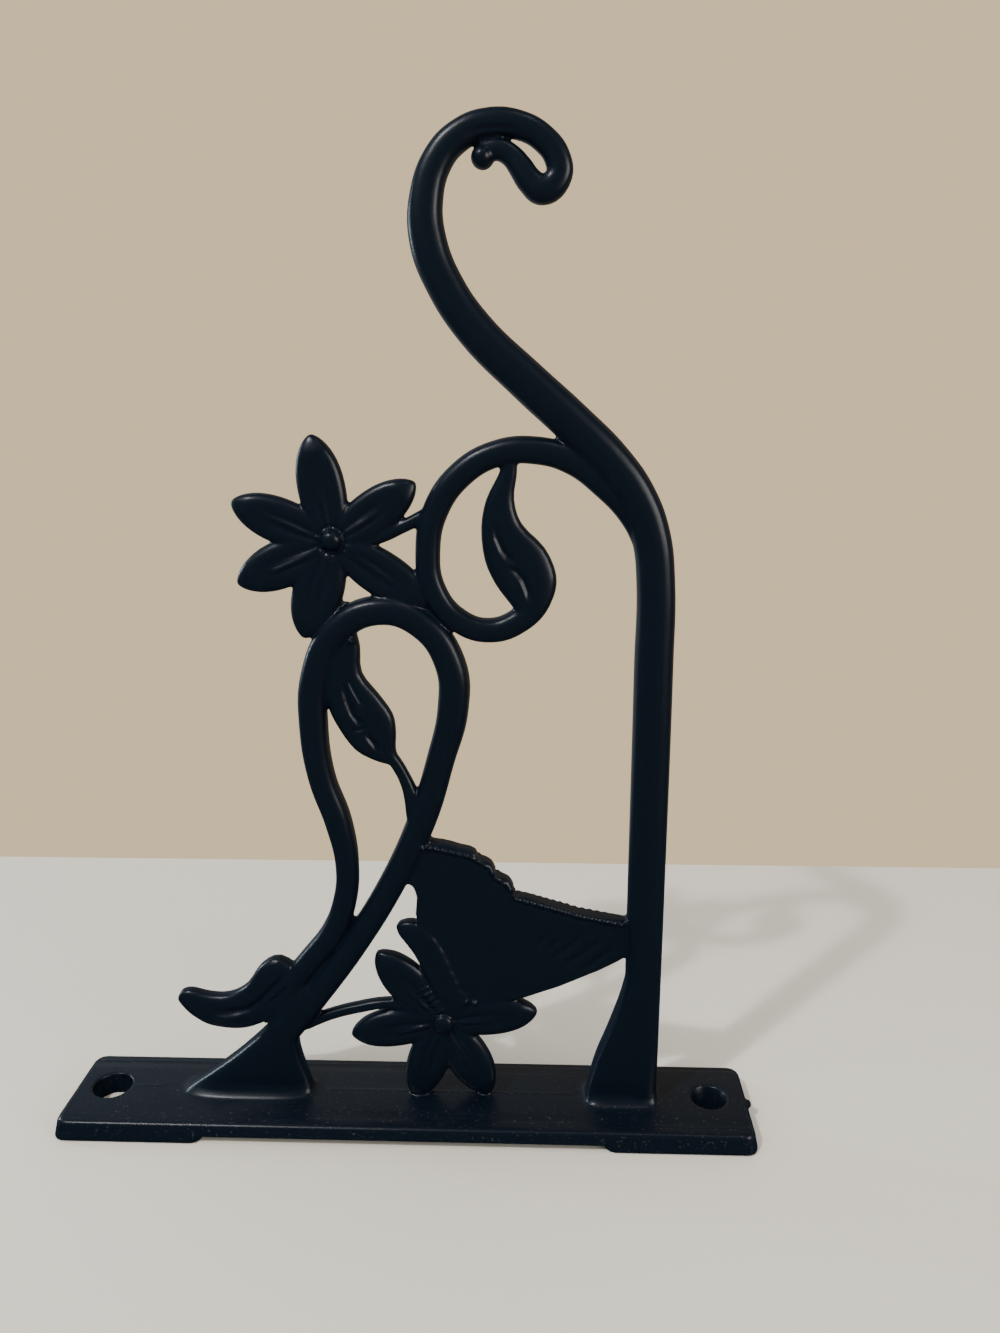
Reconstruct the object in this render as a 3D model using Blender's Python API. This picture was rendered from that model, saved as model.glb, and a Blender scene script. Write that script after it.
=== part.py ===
"""Plant hanger bracket: one casting, with a hooked stem, scrolls, leaves and a butterfly on a screw-down plate.

Lengths are in millimetres in this file and become metres in at(). X runs along the plate, Y goes back
through the ornament, and Z is up. A height in a list is measured from the top edge of the plate. The
origin is under the middle of the plate, level with the two pads that it stands on.
"""

import math

import bmesh
import bpy

MM = 0.001

# The plate, its pads and its screw holes
PLATE_LENGTH = 178.0
PLATE_WIDTH = 27.8
PLATE_THICKNESS = 3.5
PLATE_CROWN = 0.7
PLATE_CORNER = 2.0
PLATE_EDGE_ROUND = 0.8
WALL_FLARE = 1.1
PAD_LENGTH = 38.0
PAD_DEPTH = 1.9
PAD_CORNER = 3.2
HOLE_DIAMETER = 10.5
HOLE_SPAN = 158.4
PLATE_TOP = PAD_DEPTH + PLATE_THICKNESS
# How far the cutters reach past the faces that they cut
CUT_PAST = 2.0

# Half depths, front to back, measured from the mid-plane where the two halves of the mould met
STEM_DEPTH = 4.0
HOOK_DEPTH = 3.0
SCROLL_DEPTH = 2.9
LOOP_DEPTH = 3.4
TWIG_DEPTH = 1.7
WEB_DEPTH = 2.1
LOW_WEB_DEPTH = 1.3
LEAF_DEPTH = 2.4
PETAL_DEPTH = 2.5
BOSS_DEPTH = 4.2
HOOK_TIP_DEPTH = 2.9
FAR_WING_DEPTH = 1.4
FAR_WING_BEVEL = 0.5
ABDOMEN_DEPTH = 2.8
LEFT_FOOT_DEPTH = 3.4
RIGHT_FOOT_DEPTH = 3.8
FOOT_FLARE = 1.2

# Fullness of a section: 2 is an ellipse, and more is squarer
BAR_FULLNESS = 2.6
LEAF_FULLNESS = 3.0
PETAL_FULLNESS = 2.8
LEFT_FOOT_FULLNESS = 2.7
RIGHT_FOOT_FULLNESS = 5.0

# Where along the stem it starts to thin and over how much of it, as shares of its rows
HOOK_THINS_FROM = 0.45
HOOK_THINS_OVER = 0.35

# Each row is x, height and half width of a bar, from one end to the other
STEM = (
    (61.0, -1.5, 4.3),
    (61.2, 60.0, 4.4),
    (61.2, 118.0, 4.45),
    (61.0, 137.0, 4.45),
    (59.6, 147.5, 4.45),
    (56.2, 156.1, 4.5),
    (50.5, 163.9, 4.6),
    (41.7, 172.5, 4.6),
    (31.4, 181.7, 4.5),
    (20.0, 192.6, 4.25),
    (13.6, 201.9, 4.1),
    (10.2, 210.5, 3.8),
    (10.1, 219.0, 3.5),
    (13.0, 226.6, 3.2),
    (17.2, 230.8, 3.05),
    (23.0, 233.1, 2.85),
    (29.8, 232.5, 2.65),
    (34.8, 229.6, 2.4),
    (38.1, 226.0, 2.4),
    (38.3, 222.7, 2.55),
    (35.0, 220.3, 2.8),
    (31.9, 221.6, 2.6),
    (29.8, 224.4, 2.4),
    (28.2, 226.5, 2.3),
    (26.5, 227.9, 2.35),
    (24.2, 228.4, 2.3),
    (21.4, 228.4, 1.8),
)
HOOK_TIP = (22.2, 226.9)
HOOK_TIP_RADIUS = 2.5
SCROLL = (
    (60.4, 137.0, 1.9),
    (57.9, 145.0, 2.0),
    (54.6, 152.4, 2.6),
    (49.0, 158.8, 3.0),
    (41.5, 164.4, 3.1),
    (33.3, 166.7, 3.1),
    (24.6, 166.0, 3.0),
    (16.5, 161.4, 3.05),
    (10.8, 153.6, 3.0),
    (8.75, 144.5, 2.9),
    (10.0, 134.9, 2.9),
    (15.9, 127.7, 2.85),
    (23.0, 125.6, 2.9),
    (30.0, 128.2, 3.0),
    (34.4, 132.8, 2.8),
    (35.8, 136.6, 2.2),
)
LOOP = (
    (-37.0, 22.5, 2.6),
    (-31.5, 29.5, 3.1),
    (-23.4, 39.6, 3.05),
    (-17.3, 47.7, 3.1),
    (-14.2, 56.0, 2.95),
    (-13.2, 65.5, 2.9),
    (-14.8, 76.8, 3.3),
    (-18.5, 89.0, 3.3),
    (-19.8, 102.2, 3.45),
    (-18.8, 114.4, 3.45),
    (-13.7, 124.8, 3.45),
    (-3.5, 130.3, 3.5),
    (6.7, 127.2, 3.5),
    (13.4, 117.6, 3.7),
    (13.9, 106.4, 3.75),
    (10.7, 93.6, 3.45),
    (6.0, 78.4, 3.55),
    (-2.0, 61.0, 3.35),
    (-12.8, 43.0, 3.4),
    (-24.8, 26.2, 3.4),
    (-32.0, 16.0, 3.0),
)
TWIG_TO_FLOWER = ((-8.0, 146.2, 1.6), (-2.0, 147.6, 1.65), (3.0, 149.7, 1.5), (8.5, 152.4, 1.6))
TWIG_TO_LEAF = ((-2.6, 96.2, 1.5), (0.2, 92.0, 1.5), (1.9, 88.6, 1.55), (3.3, 84.6, 1.9), (4.4, 79.0, 2.4))
TWIG_TO_BUD = (
    (-26.0, 20.5, 1.6),
    (-19.6, 23.3, 1.45),
    (-11.5, 25.7, 1.45),
    (-4.0, 27.0, 1.45),
    (1.5, 26.4, 1.6),
)
LOOP_WEB = ((-11.8, 51.0, 0.8), (-18.4, 41.2, 1.4), (-25.8, 31.0, 1.6), (-30.0, 25.5, 2.0))
PETAL_WEB = ((-17.0, 126.5, 1.5), (-13.5, 130.4, 1.7), (-10.0, 131.4, 1.2))
SCROLL_BRIDGE = ((8.9, 126.0, 4.0), (10.7, 128.6, 4.2), (12.3, 131.0, 4.0))
ABDOMEN = ((3.9, 33.4, 0.8), (5.0, 31.9, 1.2), (7.0, 29.3, 1.3), (9.6, 25.8, 1.2))

# The butterfly's near pair of wings: a point on one edge, the point across from it, and the half depth
NEAR_WING = (
    (-1.5, 49.0, -0.4, 50.3, 1.25),
    (-0.9, 47.0, 3.0, 50.7, 2.33),
    (0.9, 44.5, 7.4, 48.2, 2.93),
    (2.7, 41.8, 9.9, 45.2, 3.07),
    (4.3, 38.6, 11.5, 41.8, 3.13),
    (7.0, 32.7, 14.2, 34.6, 3.11),
    (10.1, 27.3, 15.1, 28.1, 2.77),
)

# Each row is a point on one edge of a leaf, the point across from it, and the share of the leaf's depth
SCROLL_LEAF = (
    (26.2, 165.0, 29.3, 165.4, 0.8),
    (25.0, 161.4, 29.2, 161.2, 0.8),
    (22.2, 155.9, 28.6, 155.9, 0.9),
    (21.0, 149.5, 30.3, 150.4, 1.0),
    (21.7, 142.2, 35.6, 144.9, 1.0),
    (24.1, 136.6, 38.3, 138.6, 1.1),
    (27.5, 132.0, 37.6, 133.2, 1.15),
    (30.4, 128.2, 34.6, 129.2, 1.1),
)
LOOP_LEAF = (
    (-12.4, 127.0, -8.9, 126.2, 0.8),
    (-14.4, 122.0, -7.8, 121.6, 0.9),
    (-16.6, 115.0, -7.6, 115.2, 1.0),
    (-16.2, 107.4, -3.8, 110.0, 1.0),
    (-13.6, 101.2, -0.6, 105.2, 1.0),
    (-9.9, 96.0, 0.1, 101.0, 0.95),
    (-5.6, 93.5, -0.1, 96.4, 0.8),
    (-2.0, 92.4, 0.4, 94.0, 0.7),
)
FOOT_LEAF = (
    (-25.6, 35.8, -31.0, 22.4, 1.25),
    (-31.6, 40.0, -35.9, 21.4, 1.25),
    (-36.6, 37.8, -39.4, 19.9, 1.1),
    (-40.7, 32.0, -42.6, 19.1, 1.0),
    (-45.7, 29.2, -46.8, 19.2, 1.0),
    (-51.0, 29.2, -51.6, 20.2, 0.95),
    (-55.3, 30.3, -55.6, 22.8, 0.85),
    (-57.8, 29.8, -57.9, 25.4, 0.7),
    (-58.9, 28.2, -58.9, 27.1, 0.55),
)

# Horizontal slices of the two feet: x of the outer edge, x of the inner edge, height
LEFT_FOOT = (
    (-31.0, -23.4, 27.0),
    (-34.2, -25.4, 22.0),
    (-37.4, -27.6, 18.5),
    (-40.5, -28.1, 15.5),
    (-45.2, -27.4, 11.0),
    (-51.2, -25.9, 5.8),
    (-57.3, -24.5, 1.0),
    (-61.0, -22.9, -1.2),
)
RIGHT_FOOT = (
    (57.4, 64.6, 39.0),
    (55.7, 65.0, 30.7),
    (52.5, 65.3, 20.7),
    (49.5, 65.3, 12.5),
    (47.6, 65.3, 5.0),
    (46.9, 65.6, 1.2),
    (45.3, 66.9, -1.2),
)

# The butterfly's far pair of wings, seen from the side, with scallops between notches on the trailing edge
FAR_WING_START = ((1.0, 62.0), (7.3, 73.0), (13.6, 71.6), (17.2, 70.6))
WING_NOTCHES = ((18.9, 69.0), (23.6, 64.0), (28.4, 58.2))
SCALLOP_RISE = 0.2
SCALLOP_STEPS = 4
FAR_WING_END = (
    (31.0, 57.9),
    (36.7, 56.0),
    (46.0, 53.2),
    (58.5, 52.0),
    (58.5, 42.9),
    (50.0, 38.1),
    (39.9, 33.3),
    (30.4, 29.7),
    (14.0, 26.0),
    (9.0, 34.0),
    (4.1, 50.2),
    (3.7, 53.0),
    (4.1, 57.6),
    (3.3, 60.2),
)

# Flowers: the centre, then each petal's angle in degrees, its length and its half width
UPPER_FLOWER = (-13.1, 146.2)
UPPER_PETALS = (
    (99.4, 24.6, 5.5),
    (34.9, 23.6, 5.15),
    (-33.6, 26.8, 5.4),
    (-109.1, 23.9, 5.9),
    (202.9, 24.7, 5.6),
    (157.8, 24.8, 5.35),
)
UPPER_BOSS = (-13.1, 147.0)
LOWER_FLOWER = (10.1, 22.4)
LOWER_PETALS = (
    (131, 25.5, 5.6),
    (190.7, 24.6, 5.4),
    (250.7, 24.3, 5.5),
    (299, 24.5, 5.8),
    (7, 24.4, 5.4),
    (66, 12.0, 5.0),
)
BOSS_RADIUS = 2.9
# The points along a petal, as shares of its length, and the powers that round its outline
PETAL_STATIONS = (0.06, 0.22, 0.38, 0.54, 0.7, 0.82, 0.91, 0.97, 0.997)
PETAL_SWELL = 2.2
PETAL_BLUNTNESS = 0.66
# The half depth at a petal's two ends, as a share of the depth at its middle
PETAL_END_DEPTH = 0.28

ROD_SIDES = 12
THIN_SIDES = 8
FOOT_SIDES = 16
HOLE_SIDES = 32
# Corners closer together than this become one after each join or cut
MERGE = 0.003
CASTING_COLOUR = (0.012, 0.013, 0.015, 1.0)


def at(x, y, height):
    """A point in metres, from millimetres with the height measured from the plate's top edge."""
    return (x * MM, y * MM, (height + PLATE_TOP) * MM)


def oval(sides, fullness):
    """Unit points (across, depth) of an oval: fullness 2 is an ellipse, and more is squarer."""
    points = []
    for k in range(sides):
        angle = 2 * math.pi * k / sides
        c, s = math.cos(angle), math.sin(angle)
        across = math.copysign(abs(c) ** (2 / fullness), c)
        depth = math.copysign(abs(s) ** (2 / fullness), s)
        points.append((across, depth))
    return points


def smooth(rows, steps):
    """Rows between the given ones, on the smooth curve that passes through each of them."""
    found = []
    for i in range(len(rows) - 1):
        before, a, b, after = rows[max(i - 1, 0)], rows[i], rows[i + 1], rows[min(i + 2, len(rows) - 1)]
        straight = abs(a[0] - b[0]) < 0.01
        count = 1 if straight else steps
        for k in range(count):
            t = k / count
            row = []
            for p, q, r, s in zip(before, a, b, after):
                square, cube = 2 * p - 5 * q + 4 * r - s, 3 * q - p - 3 * r + s
                row.append(q + 0.5 * ((r - p) * t + square * t**2 + cube * t**3))
            found.append(tuple(row))
    found.append(rows[-1])
    return found


def new_object(name, mesh):
    """Puts a bmesh into the scene as an object, with its faces pointing outwards."""
    bmesh.ops.recalc_face_normals(mesh, faces=mesh.faces)
    if mesh.calc_volume(signed=True) < 0:
        bmesh.ops.reverse_faces(mesh, faces=mesh.faces)
    data = bpy.data.meshes.new(name)
    mesh.to_mesh(data)
    mesh.free()
    item = bpy.data.objects.new(name, data)
    bpy.context.scene.collection.objects.link(item)
    return item


def skin(name, rings):
    """A closed solid through rings of points, each with the same number of them."""
    mesh = bmesh.new()
    loops = [[mesh.verts.new(point) for point in ring] for ring in rings]
    for one, two in zip(loops, loops[1:]):
        for k in range(len(one)):
            mesh.faces.new((one[k - 1], one[k], two[k], two[k - 1]))
    mesh.faces.new(loops[0])
    mesh.faces.new(loops[-1])
    return new_object(name, mesh)


def band(name, stations, shape):
    """A solid between two edges: each station is x1, height1, x2, height2 and half depth."""
    rings = []
    for x1, h1, x2, h2, depth in stations:
        middle_x, middle_h = (x1 + x2) / 2, (h1 + h2) / 2
        across_x, across_h = (x2 - x1) / 2, (h2 - h1) / 2
        rings.append([at(middle_x + across_x * u, depth * v, middle_h + across_h * u) for u, v in shape])
    return skin(name, rings)


def along(path, depths):
    """A bar's two edges beside its centre line, as stations for band(), with a half depth for each."""
    stations = []
    for i, ((x, height, half), depth) in enumerate(zip(path, depths)):
        ahead, behind = path[min(i + 1, len(path) - 1)], path[max(i - 1, 0)]
        run_x, run_h = ahead[0] - behind[0], ahead[1] - behind[1]
        length = math.hypot(run_x, run_h)
        side_x, side_h = -run_h / length * half, run_x / length * half
        stations.append((x - side_x, height - side_h, x + side_x, height + side_h, depth))
    return stations


def bar(name, rows, depth, sides=ROD_SIDES):
    """A bar along a smooth centre line, with its own half width at each row and one half depth."""
    path = smooth(rows, 2)
    return band(name, along(path, [depth] * len(path)), oval(sides, BAR_FULLNESS))


def stem():
    """The post and its hook, which thins from front to back towards the curl at its end."""
    path = smooth(STEM, 2)
    depths = []
    for i in range(len(path)):
        thin = min(1.0, max(0.0, i / len(path) - HOOK_THINS_FROM) / HOOK_THINS_OVER)
        depths.append(STEM_DEPTH + (HOOK_DEPTH - STEM_DEPTH) * thin)
    return band("stem", along(path, depths), oval(ROD_SIDES, BAR_FULLNESS))


def leaf(name, rows):
    """A leaf between its two edges, thinnest where it starts and at its tip."""
    stations = [row[:4] + (row[4] * LEAF_DEPTH,) for row in smooth(rows, 2)]
    return band(name, stations, oval(THIN_SIDES, LEAF_FULLNESS))


def petal(name, centre, angle, length, half_width):
    """One rounded petal that runs out from the middle of its flower."""
    run_x, run_h = math.cos(math.radians(angle)), math.sin(math.radians(angle))
    stations = []
    for share in PETAL_STATIONS:
        half = half_width * (1 - abs(2 * share - 1) ** PETAL_SWELL) ** PETAL_BLUNTNESS
        depth = PETAL_DEPTH * min(1.0, PETAL_END_DEPTH + half / half_width)
        x, height = centre[0] + run_x * length * share, centre[1] + run_h * length * share
        side_x, side_h = run_h * half, run_x * half
        stations.append((x + side_x, height - side_h, x - side_x, height + side_h, depth))
    return band(name, stations, oval(THIN_SIDES, PETAL_FULLNESS))


def foot(name, slices, depth, fullness):
    """A foot that widens towards the plate and flares where it meets it."""
    flares = [0.0] * (len(slices) - 2) + [0.35, 1.0]
    stations = []
    for (outer, inner, height), flare in zip(slices, flares):
        stations.append((outer, height, inner, height, depth + FOOT_FLARE * flare))
    return band(name, stations, oval(FOOT_SIDES, fullness))


def ball(name, x, height, radius, depth):
    """A ball, or a boss when its depth differs from its radius."""
    mesh = bmesh.new()
    bmesh.ops.create_uvsphere(mesh, u_segments=12, v_segments=8, radius=1.0)
    for vert in mesh.verts:
        vert.co = at(x + vert.co.x * radius, vert.co.z * depth, height + vert.co.y * radius)
    return new_object(name, mesh)


def rounded_outline(half_length, half_width, radius):
    """The plan of a block with round corners, as x and y in millimetres."""
    outline = []
    for side_x, side_y, start in ((1, 1, 0), (-1, 1, 90), (-1, -1, 180), (1, -1, 270)):
        for step in range(4):
            angle = math.radians(start + 30 * step)
            x = side_x * (half_length - radius) + radius * math.cos(angle)
            y = side_y * (half_width - radius) + radius * math.sin(angle)
            outline.append((x, y))
    return outline


def plate():
    """The plate at its full depth: flared walls, a rounded top edge and a crown along the middle."""
    half_length, half_width = PLATE_LENGTH / 2, PLATE_WIDTH / 2
    # Each level is how far it lies outside the plate's ends, its half width and its height
    levels = (
        (WALL_FLARE - 0.5, half_width + WALL_FLARE - 0.5, -PLATE_TOP),
        (WALL_FLARE, half_width + WALL_FLARE, -PLATE_TOP + 0.5),
        (0.2, half_width + 0.2, -PLATE_EDGE_ROUND),
        (-0.2, half_width - 0.2, -0.25),
        (-PLATE_EDGE_ROUND, half_width - PLATE_EDGE_ROUND, 0.0),
        (-1.0, half_width * 0.5, PLATE_CROWN * 0.72),
        (-1.2, 0.6, PLATE_CROWN),
    )
    rings = []
    for growth, width, height in levels:
        radius = min(PLATE_CORNER + growth, width * 0.9)
        rings.append([at(x, y, height) for x, y in rounded_outline(half_length + growth, width, radius)])
    return skin("plate", rings)


def recess():
    """The cutter that leaves a pad under each end of the plate, with round corners at its inner end."""
    edge_x = PLATE_LENGTH / 2 - PAD_LENGTH
    edge_y = PLATE_WIDTH / 2 + WALL_FLARE + 0.2
    corner = []
    for step in range(4):
        angle = math.radians(180 + 30 * step)
        x = edge_x + PAD_CORNER + PAD_CORNER * math.cos(angle)
        y = -edge_y + PAD_CORNER + PAD_CORNER * math.sin(angle)
        corner.append((x, y))
    corner.append((edge_x + PAD_CORNER, -edge_y - CUT_PAST))
    outline = [(x, -y) for x, y in corner]
    outline += [(-x, -y) for x, y in reversed(corner)]
    outline += [(-x, y) for x, y in corner]
    outline += list(reversed(corner))
    bottom = [at(x, y, -PLATE_TOP - CUT_PAST) for x, y in outline]
    top = [at(x, y, -PLATE_THICKNESS) for x, y in outline]
    return skin("recess", (bottom, top))


def scallop(start, end):
    """Points on the rounded edge between two notches of a wing, without the one at its end."""
    run_x, run_h = end[0] - start[0], end[1] - start[1]
    points = []
    for step in range(SCALLOP_STEPS):
        t = step / SCALLOP_STEPS
        rise = SCALLOP_RISE * math.sin(math.pi * t)
        points.append((start[0] + run_x * t - run_h * rise, start[1] + run_h * t + run_x * rise))
    return points


def far_wing():
    """The closed wings behind, a thin plate that ties the loop, the lower flower and the post together."""
    outline = list(FAR_WING_START)
    for start, end in zip(WING_NOTCHES, WING_NOTCHES[1:]):
        outline += scallop(start, end)
    outline += [WING_NOTCHES[-1]] + list(FAR_WING_END)
    front = [at(x, -FAR_WING_DEPTH, height) for x, height in outline]
    back = [at(x, FAR_WING_DEPTH, height) for x, height in outline]
    wing = skin("far_wing", (front, back))
    mesh = bmesh.new()
    mesh.from_mesh(wing.data)
    rim = [edge for edge in mesh.edges if edge.verts[0].co.y * edge.verts[1].co.y > 0]
    bmesh.ops.bevel(mesh, geom=rim, offset=FAR_WING_BEVEL * MM, segments=1, affect="EDGES")
    mesh.to_mesh(wing.data)
    mesh.free()
    return wing


def hole(name, x):
    """A cutter for one screw hole, longer than the plate is thick."""
    radius = HOLE_DIAMETER / 2
    turns = [2 * math.pi * k / HOLE_SIDES for k in range(HOLE_SIDES)]
    rings = []
    for height in (-PLATE_TOP - CUT_PAST, PLATE_CROWN + CUT_PAST):
        rings.append([at(x + radius * math.cos(turn), radius * math.sin(turn), height) for turn in turns])
    return skin(name, rings)


def combine(body, tool, operation):
    """Adds a piece to the casting, or cuts it away, and removes the piece."""
    modifier = body.modifiers.new(tool.name, "BOOLEAN")
    modifier.operation = operation
    modifier.solver = "EXACT"
    modifier.object = tool
    bpy.context.view_layer.objects.active = body
    bpy.ops.object.modifier_apply(modifier=modifier.name)
    bpy.data.objects.remove(tool)
    mesh = bmesh.new()
    mesh.from_mesh(body.data)
    bmesh.ops.remove_doubles(mesh, verts=mesh.verts, dist=MERGE * MM)
    bmesh.ops.dissolve_degenerate(mesh, edges=mesh.edges, dist=MERGE * MM)
    mesh.to_mesh(body.data)
    mesh.free()


def casting_material():
    """Near-black satin powder coat over the metal."""
    material = bpy.data.materials.new("black_powder_coat")
    material.use_nodes = True
    surface = material.node_tree.nodes["Principled BSDF"]
    surface.inputs["Base Color"].default_value = CASTING_COLOUR
    surface.inputs["Roughness"].default_value = 0.42
    surface.inputs["Metallic"].default_value = 0.0
    material.diffuse_color = CASTING_COLOUR
    return material


def pieces():
    """Every form that is cast onto the plate."""
    yield stem()
    yield ball("hook_tip", *HOOK_TIP, HOOK_TIP_RADIUS, HOOK_TIP_DEPTH)
    yield foot("foot_right", RIGHT_FOOT, RIGHT_FOOT_DEPTH, RIGHT_FOOT_FULLNESS)
    yield foot("foot_left", LEFT_FOOT, LEFT_FOOT_DEPTH, LEFT_FOOT_FULLNESS)
    yield bar("scroll", SCROLL, SCROLL_DEPTH)
    yield bar("loop", LOOP, LOOP_DEPTH)
    yield bar("loop_web", LOOP_WEB, WEB_DEPTH, THIN_SIDES)
    yield bar("petal_web", PETAL_WEB, LOW_WEB_DEPTH, THIN_SIDES)
    yield bar("scroll_bridge", SCROLL_BRIDGE, LOW_WEB_DEPTH, THIN_SIDES)
    yield bar("twig_to_flower", TWIG_TO_FLOWER, TWIG_DEPTH, THIN_SIDES)
    yield bar("twig_to_leaf", TWIG_TO_LEAF, TWIG_DEPTH, THIN_SIDES)
    yield bar("twig_to_bud", TWIG_TO_BUD, TWIG_DEPTH, THIN_SIDES)
    yield leaf("scroll_leaf", SCROLL_LEAF)
    yield leaf("loop_leaf", LOOP_LEAF)
    yield leaf("foot_leaf", FOOT_LEAF)
    yield far_wing()
    for i, shape in enumerate(UPPER_PETALS):
        yield petal(f"upper_petal_{i}", UPPER_FLOWER, *shape)
    yield ball("upper_boss", *UPPER_BOSS, BOSS_RADIUS, BOSS_DEPTH)
    for i, shape in enumerate(LOWER_PETALS):
        yield petal(f"lower_petal_{i}", LOWER_FLOWER, *shape)
    yield ball("lower_boss", *LOWER_FLOWER, BOSS_RADIUS, BOSS_DEPTH)
    yield band("near_wing", smooth(NEAR_WING, 2), oval(ROD_SIDES, BAR_FULLNESS))
    yield bar("abdomen", ABDOMEN, ABDOMEN_DEPTH, THIN_SIDES)


def main():
    for item in list(bpy.data.objects):
        bpy.data.objects.remove(item)
    body = plate()
    body.name = "bracket_casting"
    combine(body, recess(), "DIFFERENCE")
    for piece in pieces():
        combine(body, piece, "UNION")
    for name, side in (("hole_left", -1), ("hole_right", 1)):
        combine(body, hole(name, side * HOLE_SPAN / 2), "DIFFERENCE")
    body.data.materials.clear()
    body.data.materials.append(casting_material())
    body.data.shade_smooth()
    body.data.set_sharp_from_angle(angle=math.radians(40))


main()
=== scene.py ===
# %% [markdown]
# # A cast plant hanger bracket
#
# The real object is one casting. A pattern was pressed into two halves of a sand mould, metal was poured
# in, and the casting was fettled and sprayed with black powder coat, which was baked until it flowed. This
# lesson builds it the same way: each form is modelled by itself, all of them are fused into one skin, the
# fine lines of the pattern are pressed into that skin, and the coat comes last.

import math

import bmesh
import bpy
import numpy as np
from mathutils import Matrix, Vector


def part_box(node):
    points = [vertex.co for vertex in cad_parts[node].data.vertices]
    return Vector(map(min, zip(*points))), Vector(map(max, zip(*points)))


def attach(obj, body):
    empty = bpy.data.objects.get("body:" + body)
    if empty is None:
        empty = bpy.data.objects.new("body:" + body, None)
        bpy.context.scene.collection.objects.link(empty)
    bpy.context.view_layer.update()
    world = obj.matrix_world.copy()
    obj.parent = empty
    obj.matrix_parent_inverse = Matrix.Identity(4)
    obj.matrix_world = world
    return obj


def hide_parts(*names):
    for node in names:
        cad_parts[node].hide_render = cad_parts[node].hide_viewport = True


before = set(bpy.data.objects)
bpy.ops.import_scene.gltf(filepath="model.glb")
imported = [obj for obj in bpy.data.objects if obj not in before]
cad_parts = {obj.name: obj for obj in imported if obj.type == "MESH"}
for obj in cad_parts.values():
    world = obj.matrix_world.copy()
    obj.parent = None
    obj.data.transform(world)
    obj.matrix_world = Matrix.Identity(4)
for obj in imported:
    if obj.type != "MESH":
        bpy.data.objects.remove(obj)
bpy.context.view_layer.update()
MM = 0.001
low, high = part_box("bracket_casting")
print("casting", [round(size / MM, 1) for size in high - low], "mm")

# %% [markdown]
# ## How the ornament is drawn
#
# The ornament is flat work: everything in it lies along one upright plane, where the two halves of the
# mould met. So it is drawn lying down, x along the plate and y up the ornament, with z as its relief, and
# is then stood up. Heights are measured from the plate's top edge, because the ornament grows from there.

# %% Drawing helpers
PAD_DEPTH = 1.9
PLATE_THICKNESS = 3.5
PLATE_TOP = PAD_DEPTH + PLATE_THICKNESS
forms = []


def deselect():
    """Leave nothing selected, so that the next operator acts only on what it makes."""
    if bpy.context.object and bpy.context.object.mode != "OBJECT":
        bpy.ops.object.mode_set(mode="OBJECT")
    bpy.ops.object.select_all(action="DESELECT")


def only(item):
    """Make one object the selected and active one."""
    deselect()
    item.select_set(True)
    bpy.context.view_layer.objects.active = item


def settle(item):
    """Move an object's place, turn and size into its mesh."""
    only(item)
    bpy.ops.object.transform_apply(location=True, rotation=True, scale=True)


def stand_up(item):
    """Stand a form that was drawn lying down on the plate's top edge, and keep it for the fusing."""
    item.rotation_euler = (math.radians(90), 0, 0)
    item.location = (0, 0, PLATE_TOP * MM)
    settle(item)
    forms.append(item)
    return item


def pick(item, wanted):
    """In edit mode, select just the vertices whose number and place pass a test."""
    mesh = bmesh.from_edit_mesh(item.data)
    mesh.select_mode = {"VERT"}
    for vertex in mesh.verts:
        vertex.select = wanted(vertex.index, vertex.co)
    mesh.select_flush_mode()
    bmesh.update_edit_mesh(item.data)


# %% [markdown]
# ## The bars
#
# The post, its hook, the scrolls and the twigs were rolled rods on the pattern: flat-domed in front, with
# soft shoulders. A tube along a curve does that in one step. The section is a Bezier circle whose handles
# are stretched, which pushes it towards a rounded square, and each point's radius gives the bar its swell.

# %% A bar along a smooth line
SQUARER = 1.28


def section(share):
    """The bars' section: a circle of radius 1, pushed towards a square, with its depth times share."""
    deselect()
    bpy.ops.curve.primitive_bezier_circle_add(radius=1)
    outline = bpy.context.object
    for point in outline.data.splines[0].bezier_points:
        point.handle_left_type = "FREE"
        point.handle_right_type = "FREE"
        point.handle_left = point.co + (point.handle_left - point.co) * SQUARER
        point.handle_right = point.co + (point.handle_right - point.co) * SQUARER
        for spot in (point.handle_left, point.co, point.handle_right):
            spot.y *= share
    outline.data.resolution_u = 5
    return outline


def bar(name, rows, share=1.0):
    """A bar through rows of x, height and half width. Its depth is its width times share."""
    outline = section(share)
    deselect()
    bpy.ops.curve.primitive_bezier_curve_add()
    item = bpy.context.object
    item.name = name
    line = item.data
    line.dimensions = "2D"
    line.fill_mode = "NONE"
    spline = line.splines[0]
    spline.bezier_points.add(len(rows) - 2)
    spline.radius_interpolation = "CARDINAL"
    for point, (x, height, half) in zip(spline.bezier_points, rows):
        point.co = (x * MM, height * MM, 0)
        point.handle_left_type = "AUTO"
        point.handle_right_type = "AUTO"
        point.radius = half * MM
    line.resolution_u = 6
    line.bevel_mode = "OBJECT"
    line.bevel_object = outline
    line.use_fill_caps = True
    only(item)
    bpy.ops.object.convert(target="MESH")
    bpy.data.objects.remove(outline)
    print(name, len(item.data.vertices), "vertices")
    return stand_up(item)


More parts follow.
